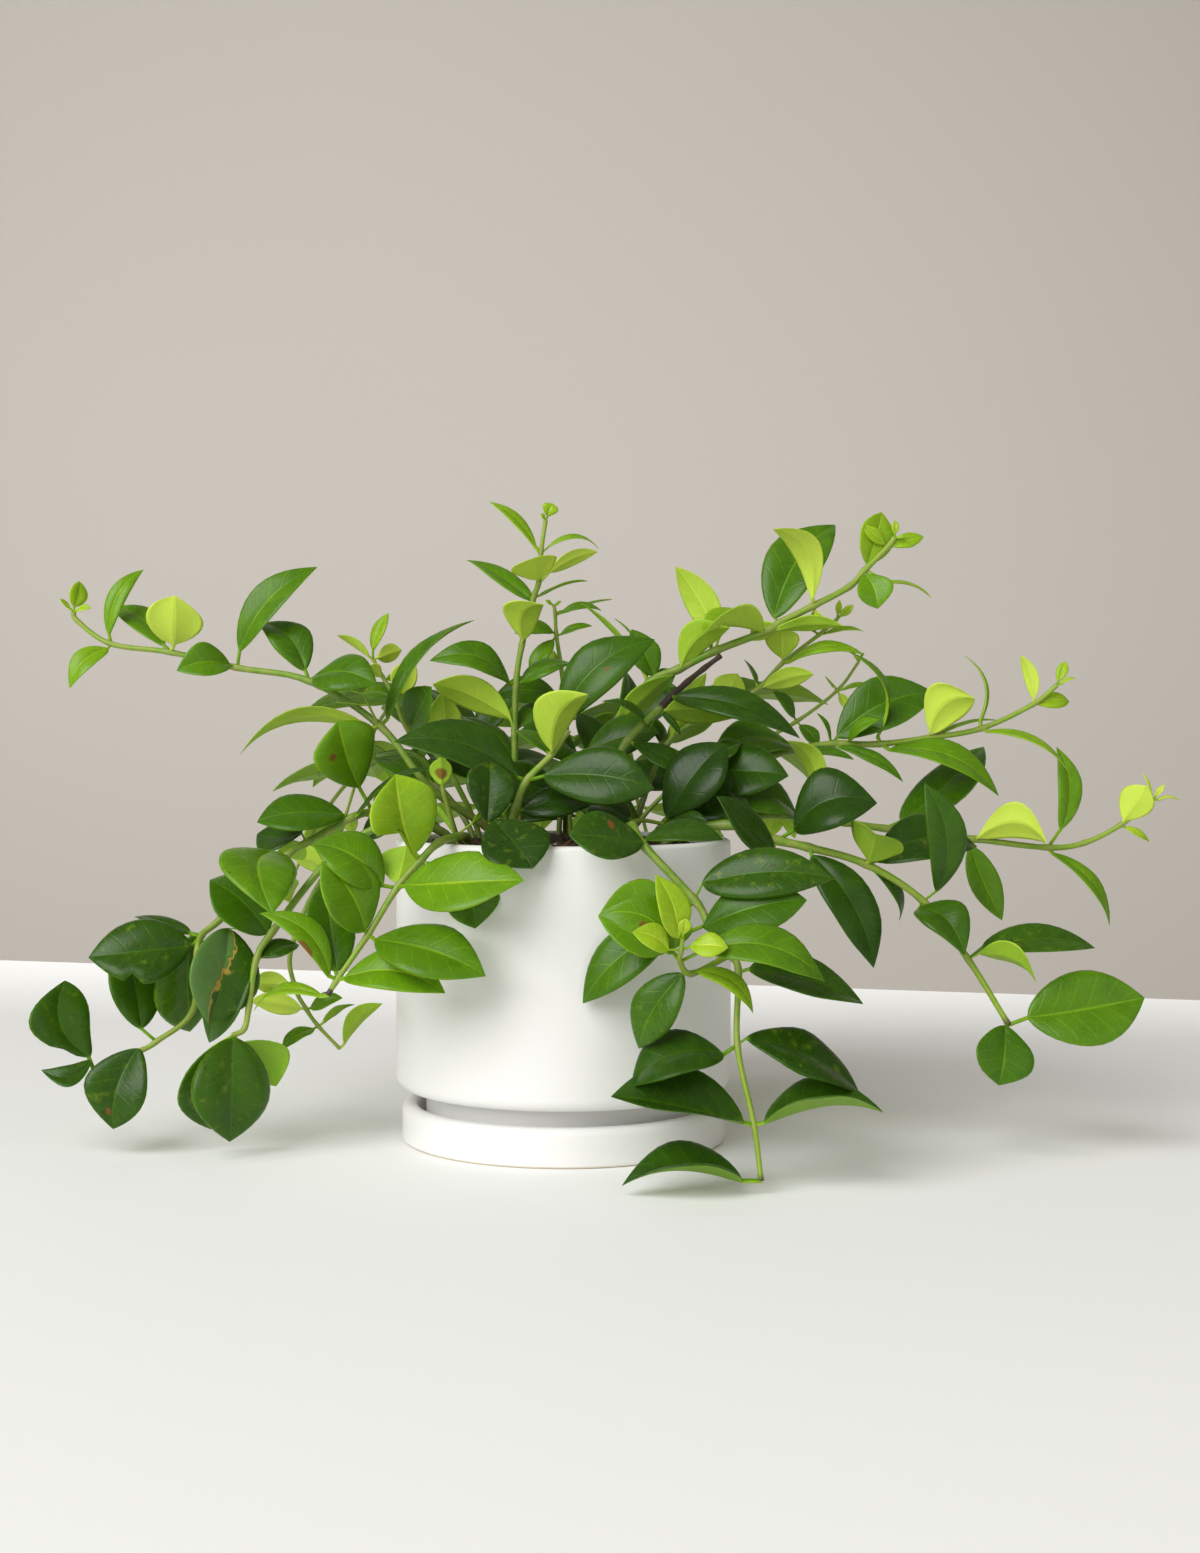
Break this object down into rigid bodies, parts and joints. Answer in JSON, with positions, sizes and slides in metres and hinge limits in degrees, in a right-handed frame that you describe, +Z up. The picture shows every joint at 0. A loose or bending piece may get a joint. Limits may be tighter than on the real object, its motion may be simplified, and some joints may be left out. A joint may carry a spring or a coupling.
{
  "type": "lipstick plant",
  "caption": "Trailing potted plant with leafy arching stems, rooted in bark mix in a plain ceramic cylinder pot on its saucer.",
  "frame": {"origin": "middle of the saucer's underside, on the surface that the plant stands on", "axes": "+Z up, +X to the right as the plant is seen from its front, +Y away from the front"},
  "size_m": [0.475, 0.2975, 0.2681],
  "materials": {
    "ceramic": "white ceramic with a smooth satin-matt glaze",
    "bark_mix": "loose dark bark and peat with reddish chips",
    "foliage": "living leaves with a waxy satin sheen, dark green when old and yellow-green when young, on green stems"
  },
  "bodies": {
    "root": {"pot": "ceramic", "saucer": "ceramic", "soil": "bark_mix", "stem_left_high": "foliage", "stem_left_inner": "foliage", "stem_centre_tall": "foliage", "stem_centre_slim": "foliage", "stem_centre_low": "foliage", "stem_centre_right": "foliage", "stem_front_centre": "foliage", "stem_hairy_bud": "foliage", "stem_front_low": "foliage", "stem_right_high": "foliage", "stem_woody": "foliage", "stem_right_back": "foliage", "stem_right_rear": "foliage", "stem_right_long": "foliage", "stem_right_low": "foliage", "stem_right_drooping": "foliage", "stem_front_hanging": "foliage", "stem_left_front": "foliage", "stem_left_drooping": "foliage", "stem_left_low": "foliage", "stem_left_rear": "foliage", "stem_front_right": "foliage", "stem_back_left": "foliage", "stem_back_right": "foliage", "stem_rear_1": "foliage", "stem_rear_2": "foliage", "stem_rear_3": "foliage", "stem_rear_4": "foliage", "stem_rear_5": "foliage", "stem_rear_6": "foliage"}
  },
  "joints": []
}
